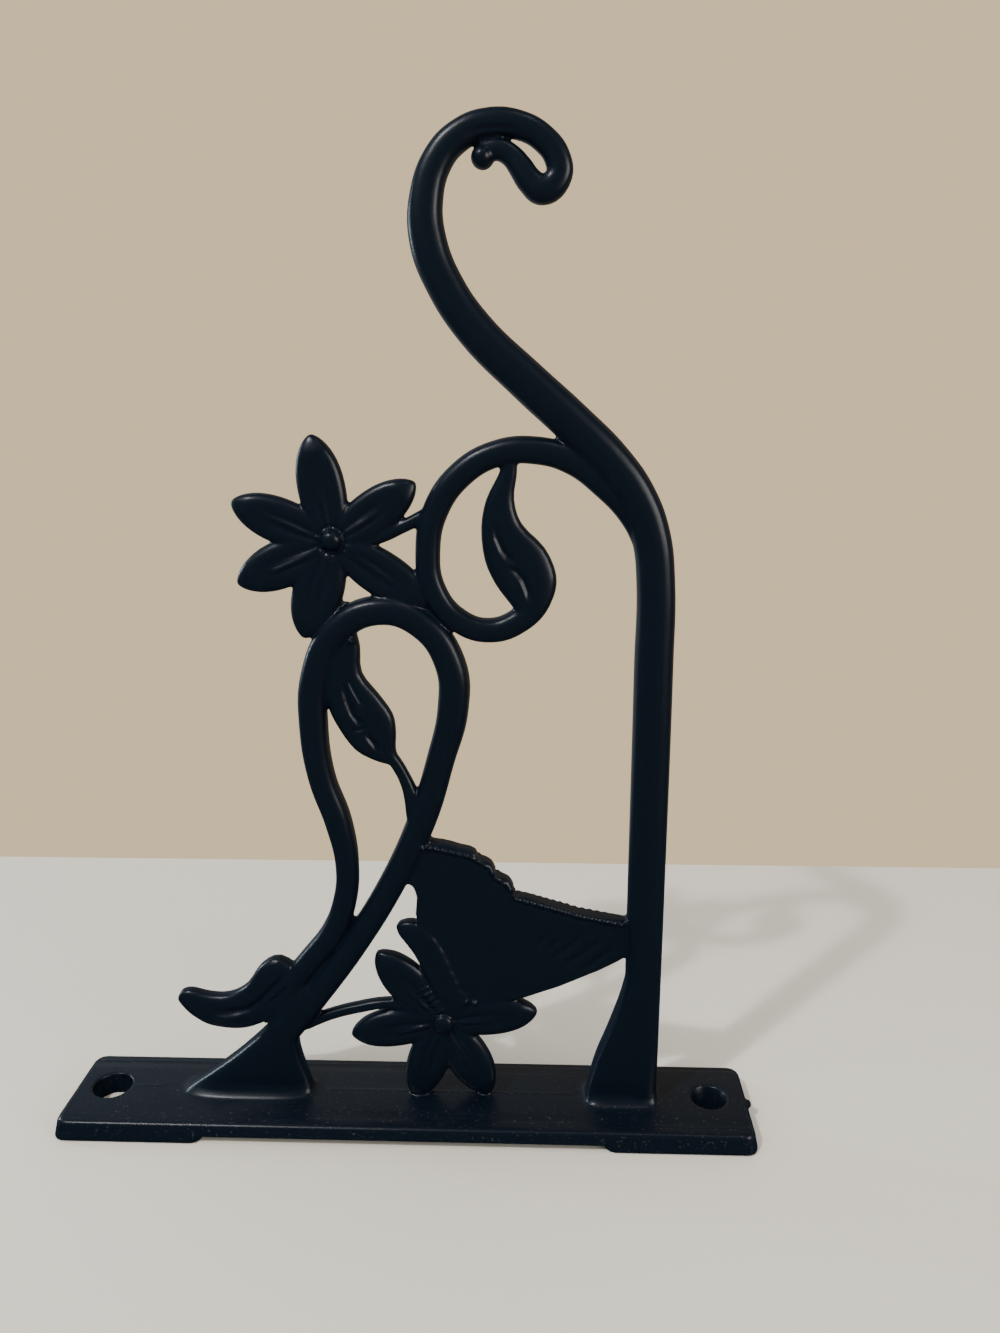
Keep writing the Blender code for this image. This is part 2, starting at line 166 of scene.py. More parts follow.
# %% The post and its hook
STEM = (
    (61.0, -1.5, 4.5),
    (61.1, 60.0, 4.6),
    (61.15, 118.0, 4.6),
    (61.0, 137.0, 4.45),
    (59.6, 147.5, 4.45),
    (56.2, 156.1, 4.5),
    (50.5, 163.9, 4.6),
    (41.7, 172.5, 4.6),
    (31.4, 181.7, 4.5),
    (20.0, 192.6, 4.25),
    (13.6, 201.9, 4.1),
    (10.3, 210.5, 4.05),
    (10.1, 219.0, 3.65),
    (12.9, 226.7, 3.3),
    (17.1, 230.8, 3.15),
    (23.1, 233.1, 2.95),
    (30.0, 232.6, 2.8),
    (35.0, 229.9, 2.75),
    (37.8, 226.2, 2.8),
    (38.0, 222.8, 2.85),
    (34.7, 220.3, 3.05),
    (32.1, 221.9, 2.8),
    (30.0, 224.7, 2.6),
    (28.3, 226.7, 2.35),
    (26.4, 227.9, 2.25),
    (24.2, 228.4, 2.2),
    (21.4, 228.4, 1.8),
)
bar("post_and_hook", STEM, share=0.92)

# %% The scroll and the loop
SCROLL = (
    (60.4, 137.0, 1.9),
    (57.9, 145.0, 2.0),
    (54.6, 152.4, 2.6),
    (49.0, 158.8, 3.0),
    (41.5, 164.4, 3.1),
    (33.3, 166.7, 3.1),
    (24.6, 166.0, 3.0),
    (16.5, 161.4, 3.05),
    (10.8, 153.6, 3.0),
    (8.75, 144.5, 2.9),
    (10.0, 134.9, 2.9),
    (15.9, 127.7, 2.85),
    (23.0, 125.6, 2.9),
    (30.0, 128.2, 3.0),
    (34.4, 132.8, 2.8),
    (35.8, 136.6, 2.2),
)
LOOP = (
    (-37.0, 22.5, 2.6),
    (-31.5, 29.5, 3.1),
    (-23.4, 39.6, 3.05),
    (-17.3, 47.7, 3.1),
    (-14.2, 56.0, 2.95),
    (-13.2, 65.5, 2.9),
    (-14.8, 76.8, 3.3),
    (-18.5, 89.0, 3.3),
    (-19.8, 102.2, 3.45),
    (-18.8, 114.4, 3.45),
    (-13.7, 124.8, 3.45),
    (-3.5, 130.3, 3.5),
    (6.7, 127.2, 3.5),
    (13.4, 117.6, 3.7),
    (13.9, 106.4, 3.75),
    (10.7, 93.6, 3.45),
    (6.0, 78.4, 3.55),
    (-2.0, 61.0, 3.35),
    (-12.8, 43.0, 3.4),
    (-24.8, 26.2, 3.4),
    (-32.0, 16.0, 3.0),
)
bar("scroll", SCROLL, share=0.97)
bar("loop", LOOP)

# %% [markdown]
# ## The twigs and webs
#
# Thin twigs carry the two flowers and a leaf, and low webs of metal fill the places where two bars run side
# by side. The caster adds such webs so that the metal can flow between the bars. They are bars too, only
# thinner.

# %% Twigs and webs
TWIGS = {
    "upper_flower_twig": ((-8.0, 146.2, 1.6), (-2.0, 147.6, 1.65), (3.0, 149.7, 1.5), (8.5, 152.4, 1.6)),
    "leaf_twig": (
        (-2.6, 96.2, 1.5),
        (0.2, 92.0, 1.5),
        (1.9, 88.6, 1.55),
        (3.3, 84.6, 1.9),
        (4.4, 79.0, 2.4),
    ),
    "lower_flower_twig": (
        (-26.0, 20.5, 1.6),
        (-19.6, 23.3, 1.45),
        (-11.5, 25.7, 1.45),
        (-4.0, 27.0, 1.45),
        (1.5, 26.4, 1.6),
    ),
}
LOOP_WEB = ((-11.8, 51.0, 0.8), (-18.4, 41.2, 1.4), (-25.8, 31.0, 1.6), (-30.0, 25.5, 2.0))
LOW_WEBS = {
    "petal_web": ((-17.0, 126.5, 1.5), (-13.5, 130.4, 1.7), (-10.0, 131.4, 1.2)),
    "scroll_bridge": ((8.9, 126.0, 4.0), (10.7, 128.6, 4.2), (12.3, 131.0, 4.0)),
}
for name, rows in TWIGS.items():
    bar(name, rows, share=1.1)
bar("loop_web", LOOP_WEB, share=1.2)
for name, rows in LOW_WEBS.items():
    bar(name, rows, share=0.32)

# %% [markdown]
# ## Forms between two edges
#
# Leaves, petals, the near wing and the feet swell between two edges. One helper makes them all: a flat grid
# whose columns are raised to the section's shape, and whose rows are then resized, turned and moved to
# their stations by the same operators that a modeller would press G, R and S for. A Mirror modifier adds
# the back, because the two halves of the mould are alike.

# %% A form between two edges
def dome(columns, fullness):
    """Places and heights across a section from edge to edge, as shares. More fullness is flatter."""
    points = []
    for k in range(columns):
        across = -math.cos(math.pi * k / (columns - 1))
        height = max(0.0, 1 - abs(across) ** fullness) ** (1 / fullness)
        points.append((across, height))
    return points


def smooth(rows, steps=3):
    """Rows between the given ones, on the smooth curve that passes through each of them."""
    found = []
    for i in range(len(rows) - 1):
        before, a, b, after = rows[max(i - 1, 0)], rows[i], rows[i + 1], rows[min(i + 2, len(rows) - 1)]
        for k in range(steps):
            t = k / steps
            row = []
            for p, q, r, s in zip(before, a, b, after):
                curve = 2 * q + (r - p) * t
                curve += (2 * p - 5 * q + 4 * r - s) * t**2
                curve += (3 * q - p - 3 * r + s) * t**3
                row.append(curve / 2)
            found.append(tuple(row))
    found.append(rows[-1])
    return found


def swell(name, stations, shape):
    """A form between two edges. A station is x1, height1, x2, height2 and half depth, in millimetres."""
    deselect()
    bpy.ops.mesh.primitive_grid_add(x_subdivisions=len(shape) - 1, y_subdivisions=len(stations) - 1, size=2)
    item = bpy.context.object
    item.name = name
    bpy.ops.object.mode_set(mode="EDIT")
    for column, (across, height) in enumerate(shape):
        start = 2 * column / (len(shape) - 1) - 1
        pick(item, lambda number, place: number % len(shape) == column)
        bpy.ops.transform.translate(value=(across - start, 0, height))
    for row, (x1, h1, x2, h2, depth) in enumerate(stations):
        start = Vector((0, 2 * row / (len(stations) - 1) - 1, 0))
        middle = Vector(((x1 + x2) / 2, (h1 + h2) / 2, 0)) * MM
        half = math.hypot(x2 - x1, h2 - h1) / 2 * MM
        turn = math.atan2(h2 - h1, x2 - x1)
        pick(item, lambda number, place: number // len(shape) == row)
        bpy.ops.transform.resize(value=(half, 1, depth * MM), center_override=start)
        bpy.ops.transform.rotate(value=-turn, orient_axis="Z", center_override=start)
        bpy.ops.transform.translate(value=middle - start)
    bpy.ops.object.mode_set(mode="OBJECT")
    return close_back(item)


def close_back(item):
    """Mirror the front half of a form to its back, close its ends and point its faces outwards."""
    only(item)
    mirror = item.modifiers.new("other_half", "MIRROR")
    mirror.use_axis = (False, False, True)
    mirror.merge_threshold = 0.01 * MM
    bpy.ops.object.modifier_apply(modifier=mirror.name)
    bpy.ops.object.mode_set(mode="EDIT")
    bpy.ops.mesh.select_all(action="SELECT")
    bpy.ops.mesh.fill_holes(sides=0)
    bpy.ops.mesh.normals_make_consistent(inside=False)
    bpy.ops.object.mode_set(mode="OBJECT")
    return item


# %% The three leaves
LEAF_DEPTH = 2.4
SCROLL_LEAF = (
    (26.2, 165.0, 29.3, 165.4, 0.8),
    (25.0, 161.4, 29.2, 161.2, 0.8),
    (22.2, 155.9, 28.6, 155.9, 0.9),
    (21.0, 149.5, 30.3, 150.4, 1.0),
    (21.7, 142.2, 35.6, 144.9, 1.0),
    (24.1, 136.6, 38.3, 138.6, 1.1),
    (27.5, 132.0, 37.6, 133.2, 1.15),
    (30.4, 128.2, 34.6, 129.2, 1.1),
)
LOOP_LEAF = (
    (-12.4, 127.0, -8.9, 126.2, 0.8),
    (-14.4, 122.0, -7.8, 121.6, 0.9),
    (-16.6, 115.0, -7.6, 115.2, 1.0),
    (-16.2, 107.4, -3.8, 110.0, 1.0),
    (-13.6, 101.2, -0.6, 105.2, 1.0),
    (-9.9, 96.0, 0.1, 101.0, 0.95),
    (-5.6, 93.5, -0.1, 96.4, 0.8),
    (-2.0, 92.4, 0.4, 94.0, 0.7),
)
FOOT_LEAF = (
    (-25.6, 35.8, -31.0, 22.4, 1.25),
    (-31.6, 40.0, -35.9, 21.4, 1.25),
    (-36.6, 37.8, -39.4, 19.9, 1.1),
    (-40.7, 32.0, -42.6, 19.1, 1.0),
    (-45.7, 29.2, -46.8, 19.2, 1.0),
    (-51.0, 29.2, -51.6, 20.2, 0.95),
    (-55.3, 30.3, -55.6, 22.8, 0.85),
    (-57.8, 29.8, -57.9, 25.4, 0.7),
    (-58.9, 28.2, -58.9, 27.1, 0.55),
)
for name, rows in (("scroll_leaf", SCROLL_LEAF), ("loop_leaf", LOOP_LEAF), ("foot_leaf", FOOT_LEAF)):
    stations = [row[:4] + (row[4] * LEAF_DEPTH,) for row in smooth(rows)]
    leaf = swell(name, stations, dome(columns=13, fullness=3.0))
    stand_up(leaf)
    print(name, len(leaf.data.vertices), "vertices")

# %% [markdown]
# ## The flowers
#
# Each flower has six petals round a boss. The petals differ only in length, width and direction, so one
# petal of unit size is modelled and copied, and each copy is stretched and turned to its place.

# %% One petal, copied twelve times
PETAL_DEPTH = 2.5
PETAL_ROWS = 24
UPPER_BOSS_RADIUS = 2.5
LOWER_BOSS_RADIUS = 3.0
BOSS_DEPTH = 1.8
BOSS_LIFT = 2.1
UPPER_FLOWER = (-13.1, 146.2)
UPPER_BOSS = (-13.1, 147.0)
# Direction in degrees, length and half width of each petal
UPPER_PETALS = (
    (99.4, 24.6, 5.5),
    (34.9, 23.6, 5.15),
    (-33.6, 26.8, 5.4),
    (-109.1, 23.9, 5.9),
    (202.9, 24.7, 5.6),
    (157.8, 24.8, 5.35),
)
LOWER_FLOWER = (10.1, 22.4)
LOWER_PETALS = (
    (131, 25.5, 5.6),
    (190.7, 24.6, 5.4),
    (250.7, 24.3, 5.5),
    (299, 24.5, 5.8),
    (7, 24.4, 5.4),
    (66, 12.0, 5.0),
)


def add_ball(name, place, radius, depth, lift):
    """A ball on the front of the ornament and its twin on the back. A lift of 0 puts both in the middle."""
    for side in (-1, 1):
        deselect()
        bpy.ops.mesh.primitive_uv_sphere_add(segments=24, ring_count=16, radius=MM)
        ball = bpy.context.object
        ball.name = name
        ball.scale = (radius, radius, depth)
        ball.location = (place[0] * MM, place[1] * MM, side * lift * MM)
        settle(ball)
        stand_up(ball)


def petal_width(share):
    """Half width of a petal, as a share of its widest, at a share of its length."""
    return (1 - abs(2 * share - 1) ** 2.2) ** 0.66


def unit_petal():
    """A petal along +x whose length, half width and half depth are 1 mm each, to be stretched later."""
    stations = []
    for k in range(PETAL_ROWS):
        share = 0.5 - 0.497 * math.cos(math.pi * k / (PETAL_ROWS - 1))
        half = petal_width(share)
        stations.append((share, half, share, -half, min(1.0, 0.28 + half)))
    return swell("petal", stations, dome(columns=15, fullness=2.8))


def add_flower(name, centre, petals, boss_place, boss_radius):
    """Copy the petal to each direction of a flower, and put a boss on its front and on its back."""
    for k, (angle, length, half_width) in enumerate(petals):
        only(petal)
        bpy.ops.object.duplicate()
        copy = bpy.context.object
        copy.name = f"{name}_petal_{k}"
        copy.scale = (length, half_width, PETAL_DEPTH)
        settle(copy)
        copy.rotation_euler = (0, 0, math.radians(angle))
        copy.location = (centre[0] * MM, centre[1] * MM, 0)
        settle(copy)
        stand_up(copy)
    add_ball(f"{name}_boss", boss_place, boss_radius, BOSS_DEPTH, BOSS_LIFT)


petal = unit_petal()
add_flower("upper", UPPER_FLOWER, UPPER_PETALS, UPPER_BOSS, UPPER_BOSS_RADIUS)
add_flower("lower", LOWER_FLOWER, LOWER_PETALS, LOWER_FLOWER, LOWER_BOSS_RADIUS)
bpy.data.objects.remove(petal)
print(len(UPPER_PETALS) + len(LOWER_PETALS), "petals and 2 bosses")

# %% The hook's tip and two stubs left from the pouring
HOOK_TIP = (22.1, 226.7)
LEAF_STUB = (-9.6, 123.3)
PLATE_STUB = (89.4, -1.2)
add_ball("hook_tip", HOOK_TIP, radius=2.5, depth=2.9, lift=0.0)
add_ball("leaf_stub", LEAF_STUB, radius=0.8, depth=0.8, lift=2.1)
add_ball("plate_stub", PLATE_STUB, radius=1.0, depth=1.3, lift=0.0)

# %% [markdown]
# ## The feet
#
# The left foot is a gusset with one long slope, and the right one a slim wedge against the post with flat
# faces, so its section is squarer. Both flare out where they meet the plate. Above the left foot a neck
# fills the place where the loop's two arms and the low leaf run into each other.

# %% Two feet
LEFT_FOOT_DEPTH = 3.4
RIGHT_FOOT_DEPTH = 3.8
FOOT_FLARE = 2.4
FLARE_START = 0.3
FLARE_HEIGHT = 3.6
# Left edge, right edge and height of each slice of a foot
LEFT_FOOT = (
    (-31.0, -23.4, 27.0),
    (-34.2, -25.4, 22.0),
    (-37.4, -27.6, 18.5),
    (-40.5, -28.1, 15.5),
    (-45.6, -27.4, 11.0),
    (-52.3, -25.9, 5.8),
    (-59.4, -24.5, 1.0),
    (-63.6, -22.9, -1.2),
)
RIGHT_FOOT = (
    (57.4, 64.6, 39.0),
    (55.7, 65.0, 30.7),
    (52.5, 65.3, 20.7),
    (49.5, 65.3, 12.5),
    (47.6, 65.3, 5.0),
    (46.9, 65.6, 1.2),
    (45.3, 66.9, -1.2),
)
FEET = (
    ("left_foot", LEFT_FOOT, LEFT_FOOT_DEPTH, 3.4),
    ("right_foot", RIGHT_FOOT, RIGHT_FOOT_DEPTH, 5.0),
)
NECK = (
    (-25.2, 33.2, -24.6, 32.0, 2.2),
    (-28.0, 31.0, -24.4, 28.4, 3.1),
    (-31.5, 27.0, -26.7, 23.7, 3.4),
    (-34.6, 23.0, -29.0, 19.0, 3.5),
    (-36.2, 19.4, -30.8, 15.6, 3.4),
)
stand_up(swell("neck", smooth(NECK), dome(columns=13, fullness=3.0)))
for name, slices, depth, fullness in FEET:
    stations = []
    for left, right, height in smooth(slices):
        flare = max(0.0, 1 - max(0.0, height - FLARE_START) / FLARE_HEIGHT) ** 2
        stations.append((left, height, right, height, depth + FOOT_FLARE * flare))
    stand_up(swell(name, stations, dome(17, fullness)))
    print(name, "rises", slices[0][2], "mm")

# %% [markdown]
# ## The butterfly
#
# Its far wings are closed behind it: one thin plate that also ties the loop and the lower flower to the
# post. A plate with a drawn outline is a filled curve with some thickness and a small round on its edge.
# The near wing, the body and the two dots beside it stand proud of the flower.

# %% Wings, body and dots
WING_DEPTH = 1.9
WING_EDGE = 0.5
SCALLOP_RISE = 0.25
SCALLOP_STEPS = 8
FAR_WING_START = ((1.0, 62.0), (7.3, 73.0), (12.5, 71.9), (15.0, 71.1), (17.4, 70.6), (18.9, 69.8))
WING_NOTCHES = ((19.6, 68.0), (23.7, 63.8), (28.3, 58.2))
FAR_WING_END = (
    (31.2, 58.1),
    (36.5, 56.3),
    (44.0, 53.9),
    (50.0, 52.8),
    (58.5, 51.7),
    (58.5, 42.9),
    (50.0, 38.1),
    (39.9, 33.3),
    (30.4, 29.7),
    (14.0, 26.0),
    (9.0, 34.0),
    (4.1, 50.2),
    (3.7, 53.0),
    (4.1, 57.6),
    (3.3, 60.2),
)
NEAR_WING = (
    (-1.5, 49.0, -0.4, 50.3, 1.2),
    (-0.9, 47.0, 3.0, 50.8, 2.0),
    (0.9, 44.5, 7.4, 48.2, 2.5),
    (2.7, 41.8, 10.0, 45.2, 2.6),
    (4.3, 38.6, 11.6, 41.8, 2.7),
    (5.6, 35.6, 12.9, 38.0, 2.75),
    (7.0, 32.6, 14.3, 34.6, 2.8),
    (8.6, 29.7, 15.3, 31.2, 2.8),
    (10.2, 27.2, 15.2, 28.0, 2.7),
)
ABDOMEN = ((3.9, 33.4, 0.8), (5.0, 31.9, 1.2), (7.0, 29.3, 1.3), (9.6, 25.8, 1.2))
DOTS = ((15.9, 28.9), (18.1, 28.5))
DOT_RADIUS = 0.7
DOT_LIFT = 2.1


def scallop(start, end):
    """Points on the rounded edge between two notches of the wing, up to but not at its end."""
    run_x, run_h = end[0] - start[0], end[1] - start[1]
    points = []
    for step in range(SCALLOP_STEPS):
        t = step / SCALLOP_STEPS
        rise = SCALLOP_RISE * math.sin(math.pi * t)
        points.append((start[0] + run_x * t - run_h * rise, start[1] + run_h * t + run_x * rise))
    return points


def flat_plate(name, outline, depth, edge):
    """A flat piece with a drawn outline: a filled curve with a thickness and a rounded edge."""
    deselect()
    bpy.ops.curve.primitive_bezier_curve_add()
    item = bpy.context.object
    item.name = name
    line = item.data
    line.dimensions = "2D"
    line.splines.clear()
    spline = line.splines.new("POLY")
    spline.points.add(len(outline) - 1)
    for point, (x, height) in zip(spline.points, outline):
        point.co = (x * MM, height * MM, 0, 1)
    spline.use_cyclic_u = True
    line.fill_mode = "BOTH"
    line.extrude = (depth - edge) * MM
    line.bevel_depth = edge * MM
    line.bevel_resolution = 3
    line.offset = -edge * MM
    only(item)
    bpy.ops.object.convert(target="MESH")
    return stand_up(item)


trailing_edge = []
for start, end in zip(WING_NOTCHES, WING_NOTCHES[1:]):
    trailing_edge += scallop(start, end)
wing_outline = list(FAR_WING_START) + trailing_edge + [WING_NOTCHES[-1]] + list(FAR_WING_END)
flat_plate("far_wing", wing_outline, WING_DEPTH, WING_EDGE)
stand_up(swell("near_wing", smooth(NEAR_WING), dome(columns=13, fullness=3.2)))
bar("body", ABDOMEN, share=2.15)
for place in DOTS:
    add_ball("dot", place, DOT_RADIUS, DOT_RADIUS, DOT_LIFT)
print("wing outline of", len(wing_outline), "points")

# %% [markdown]
# ## The plate
#
# The plate stands on two pads, so that it bears at its ends and clears the middle. Its walls flare
# downwards, and its top has a low crown. A block is cut into a slab and two pads: the block carries the
# corners and the flare, so all three agree. The screw holes narrow downwards, the right one more, where
# the metal has run into it.

# %% A flared block
PLATE_LENGTH = 178.0
PLATE_WIDTH = 27.8
PLATE_CROWN = 0.7
PLATE_CORNER = 3.0
WALL_FLARE = 1.1
CROWN_LINES = (0.8, 0.55, 0.3, 0.1)
PAD_LENGTH = 38.0
PAD_CORNER = 3.2
PAD_OVERLAP = 0.4
HOLE_SPAN = 158.4
# A drill's diameters at its upper and lower ends, which reach 1.5 mm past the block
DRILL_TOP = 10.1
DRILL_BOTTOMS = (9.4, 4.0)
DRILL_LENGTH = PLATE_TOP + 3
BOTTOM_ROUND = 0.9
TOP_ROUND = 1.0


def block(name):
    """The plate's full block, from the surface it stands on up to its top edge."""
    deselect()
    bpy.ops.mesh.primitive_cube_add(size=1, location=(0, 0, PLATE_TOP / 2 * MM))
    item = bpy.context.object
    item.name = name
    item.scale = (PLATE_LENGTH * MM, PLATE_WIDTH * MM, PLATE_TOP * MM)
    settle(item)
    bpy.ops.object.mode_set(mode="EDIT")
    pick_edges(item, lambda one, two: abs(one.z - two.z) > 2 * MM)
    bpy.ops.mesh.bevel(offset=PLATE_CORNER * MM, segments=6)
    pick(item, lambda number, place: place.z < MM)
    longer = (PLATE_LENGTH + 2 * WALL_FLARE) / PLATE_LENGTH
    wider = (PLATE_WIDTH + 2 * WALL_FLARE) / PLATE_WIDTH
    bpy.ops.transform.resize(value=(longer, wider, 1), center_override=(0, 0, 0))
    return item


def pick_edges(item, wanted):
    """In edit mode, select just the edges whose two ends pass a test."""
    mesh = bmesh.from_edit_mesh(item.data)
    mesh.select_mode = {"EDGE"}
    for face in mesh.faces:
        face.select = False
    for edge in mesh.edges:
        edge.select = wanted(edge.verts[0].co, edge.verts[1].co)
    mesh.select_flush_mode()
    bmesh.update_edit_mesh(item.data)


def cut_off(place, direction):
    """In edit mode, cut off the side of the mesh that the direction points to, and close the cut."""
    bpy.ops.mesh.select_all(action="SELECT")
    bpy.ops.mesh.bisect(plane_co=place, plane_no=direction, use_fill=True, clear_outer=True)


# %% The slab and its crown
slab = block("slab")
cut_off((0, 0, PAD_DEPTH * MM), (0, 0, -1))
pick_edges(slab, lambda one, two: min(one.z, two.z) > (PLATE_TOP - 0.01) * MM)
bpy.ops.mesh.bevel(offset=TOP_ROUND * MM, segments=4)
for share in [-line for line in CROWN_LINES] + sorted(CROWN_LINES):
    bpy.ops.mesh.select_all(action="SELECT")
    bpy.ops.mesh.bisect(plane_co=(0, share * PLATE_WIDTH / 2 * MM, 0), plane_no=(0, 1, 0))
for share in CROWN_LINES:
    level = PLATE_CROWN * (1 - share**2)
    reach = (share * PLATE_WIDTH / 2 + 0.01) * MM
    pick(
        slab,
        lambda number, place: place.z > (PLATE_TOP - 0.01) * MM
        and reach - 0.1 * MM < abs(place.y) < reach
        and abs(place.x) < (PLATE_LENGTH / 2 - TOP_ROUND + 0.05) * MM,
    )
    bpy.ops.transform.translate(value=(0, 0, level * MM))
bpy.ops.object.mode_set(mode="OBJECT")
print("slab", [round(size / MM, 1) for size in slab.dimensions], "mm")

# %% Two pads and the screw holes
pads = []
for side in (-1, 1):
    pad = block(f"pad_{side}")
    cut_off((0, 0, (PAD_DEPTH + PAD_OVERLAP) * MM), (0, 0, 1))
    inner = side * (PLATE_LENGTH / 2 - PAD_LENGTH) * MM
    cut_off((inner, 0, 0), (-side, 0, 0))
    pick_edges(
        pad,
        lambda one, two: max(abs(one.x - inner), abs(two.x - inner)) < 0.01 * MM
        and abs(one.y) > (PLATE_WIDTH / 2 - 0.9) * MM
        and abs(one.z - two.z) > 0.5 * MM,
    )
    bpy.ops.mesh.bevel(offset=PAD_CORNER * MM, segments=6)
    pick_edges(pad, lambda one, two: max(one.z, two.z) < 0.01 * MM)
    bpy.ops.mesh.bevel(offset=BOTTOM_ROUND * MM, segments=3)
    bpy.ops.object.mode_set(mode="OBJECT")
    pads.append(pad)

for side, bottom in zip((-1, 1), DRILL_BOTTOMS):
    deselect()
    bpy.ops.mesh.primitive_cone_add(
        vertices=48,
        radius1=bottom / 2 * MM,
        radius2=DRILL_TOP / 2 * MM,
        depth=DRILL_LENGTH * MM,
        location=(side * HOLE_SPAN / 2 * MM, 0, PLATE_TOP / 2 * MM),
    )
    drill = bpy.context.object
    for drilled in (slab, pads[0], pads[1]):
        only(drilled)
        cut = drilled.modifiers.new("screw_hole", "BOOLEAN")
        cut.operation = "DIFFERENCE"
        cut.object = drill
        bpy.ops.object.modifier_apply(modifier=cut.name)
    bpy.data.objects.remove(drill)
forms += [slab] + pads
print(len(pads), "pads, and 2 holes", HOLE_SPAN, "mm apart")

# %% [markdown]
# ## Fusing the casting
#
# In the mould all these forms are one cavity, and the metal rounds every corner where two of them meet. A
# voxel Remesh does the same: it wraps one skin round everything, and a Smooth modifier turns the sharp
# valleys into small fillets. Boolean unions would keep the sharp lines between the forms, which no casting
# has.

# %% One skin round every form
VOXEL = 0.34


def apply_modifier(item, kind, **settings):
    """Add a modifier with its settings and apply it at once."""
    only(item)
    modifier = item.modifiers.new(kind.lower(), kind)
    for key, value in settings.items():
        setattr(modifier, key, value)
    bpy.ops.object.modifier_apply(modifier=modifier.name)


deselect()
for form in forms:
    form.select_set(True)
bpy.context.view_layer.objects.active = forms[0]
bpy.ops.object.join()
casting = bpy.context.object
casting.name = "casting"
apply_modifier(casting, "REMESH", mode="VOXEL", voxel_size=VOXEL * MM)
apply_modifier(casting, "SMOOTH", factor=0.5, iterations=5)
print("fused skin of", len(casting.data.polygons), "faces")

# %% [markdown]
# ## The pattern's fine lines
#
# Ribs, veins, grooves and the wing's rim were cut into the pattern after its forms were made. Here each
# line is a short drawing in the same millimetres. The vertices near it get a weight that falls off to its
# sides, and one Displace modifier for each kind of line moves the skin along its normals by those weights.
# A Smooth modifier with such weights gives the wider fillets. The back gets the same lines, because the
# weights look only at the drawing's two directions.

# %% Lines pressed into the skin
def skin_of(item):
    """The skin's vertices and normals: x, depth and height above the plate's top edge, in millimetres."""
    places = np.empty(len(item.data.vertices) * 3, np.float32)
    item.data.vertices.foreach_get("co", places)
    normals = np.empty(len(item.data.vertices) * 3, np.float32)
    item.data.vertices.foreach_get("normal", normals)
    return places.reshape(-1, 3) / MM - (0, 0, PLATE_TOP), normals.reshape(-1, 3)


def line_weights(drawn, lines, reach):
    """How close each point is to a line: the line's strength on it, and 0 at reach."""
    weights = np.zeros(len(drawn), np.float32)
    for line in lines:
        for start, end in zip(line, line[1:]):
            place, run = np.array(start[:2], np.float32), np.subtract(end[:2], start[:2], dtype=np.float32)
            share = np.clip((drawn - place) @ run / (run @ run), 0, 1)
            away = np.linalg.norm(drawn - place - share[:, None] * run, axis=1)
            near = away < reach
            strong = start[2] + (end[2] - start[2]) * share[near]
            weights[near] = np.maximum(weights[near], strong * (1 - (away[near] / reach) ** 2) ** 2)
    return weights


def modify_where(item, name, weights, kind, **settings):
    """Apply a modifier only as strongly as the weights say. Without any weight it would act everywhere."""
    if weights.max() <= 0.01:
        raise ValueError(f"{name} touches no vertex")
    group = item.vertex_groups.new(name=name)
    for number in np.nonzero(weights > 0.01)[0]:
        group.add([int(number)], float(weights[number]), "REPLACE")
    apply_modifier(item, kind, vertex_group=name, **settings)
    item.vertex_groups.remove(item.vertex_groups[name])
    print(name, "changed", int((weights > 0.01).sum()), "vertices")


def press(item, name, lines, reach, rise):
    """Raise the skin along lines by rise, or sink it where rise is below zero. All in millimetres."""
    places, normals = skin_of(item)
    facing = np.clip((np.abs(normals[:, 1]) - 0.3) / 0.4, 0, 1)
    weights = line_weights(places[:, (0, 2)], lines, reach) * facing
    modify_where(item, name, weights, "DISPLACE", mid_level=0.0, strength=rise * MM)


def press_top(item, name, lines, reach, rise):
    """The same for lines of x and depth that are drawn on the top of the plate."""
    places, normals = skin_of(item)
    facing = np.clip((normals[:, 2] - 0.7) / 0.2, 0, 1) * (places[:, 2] < PLATE_CROWN + 0.5)
    weights = line_weights(places[:, :2], lines, reach) * facing
    modify_where(item, name, weights, "DISPLACE", mid_level=0.0, strength=rise * MM)


def soften(item, name, lines, reach, times):
    """Round the skin near lines, as metal does where two forms meet, but leave the plate's long edges."""
    places, normals = skin_of(item)
    weights = line_weights(places[:, (0, 2)], lines, reach) * (np.abs(places[:, 1]) < PLATE_WIDTH / 2 - 4)
    modify_where(item, name, weights, "SMOOTH", factor=0.5, iterations=times)


def stroke(*points, fade=True):
    """A line through points with its strength at each: 1 and, where it fades, 0 at both its ends."""
    last = len(points) - 1
    return [(x, height, 0.0 if fade and k in (0, last) else 1.0) for k, (x, height) in enumerate(points)]


# %% Fillets
plate_fillets = [stroke((-64, 0.2), (-23, 0.2), fade=False), stroke((44, 0.2), (68, 0.2), fade=False)]
soften(casting, "plate_fillets", plate_fillets, reach=2.6, times=60)
wing_joints = [stroke((2.6, 58.5), (8.2, 72.4), fade=False), stroke((56.6, 41.5), (56.6, 51.0), fade=False)]
soften(casting, "wing_joints", wing_joints, reach=2.4, times=30)
leaf_joints = [
    stroke((29.5, 129.5), (36.5, 135.5), fade=False),
    stroke((-26.5, 34.0), (-34.5, 23.0), fade=False),
    stroke((-34.5, 20.5), (-31.0, 17.5), fade=False),
]
soften(casting, "leaf_joints", leaf_joints, reach=2.4, times=25)
curl_joint = stroke((17.5, 227.0), (22.0, 229.6), (27.8, 229.6))
soften(casting, "curl_joint", [curl_joint], reach=1.6, times=16)

# %% Ribs of the petals
RIB_GROOVE = 1.2


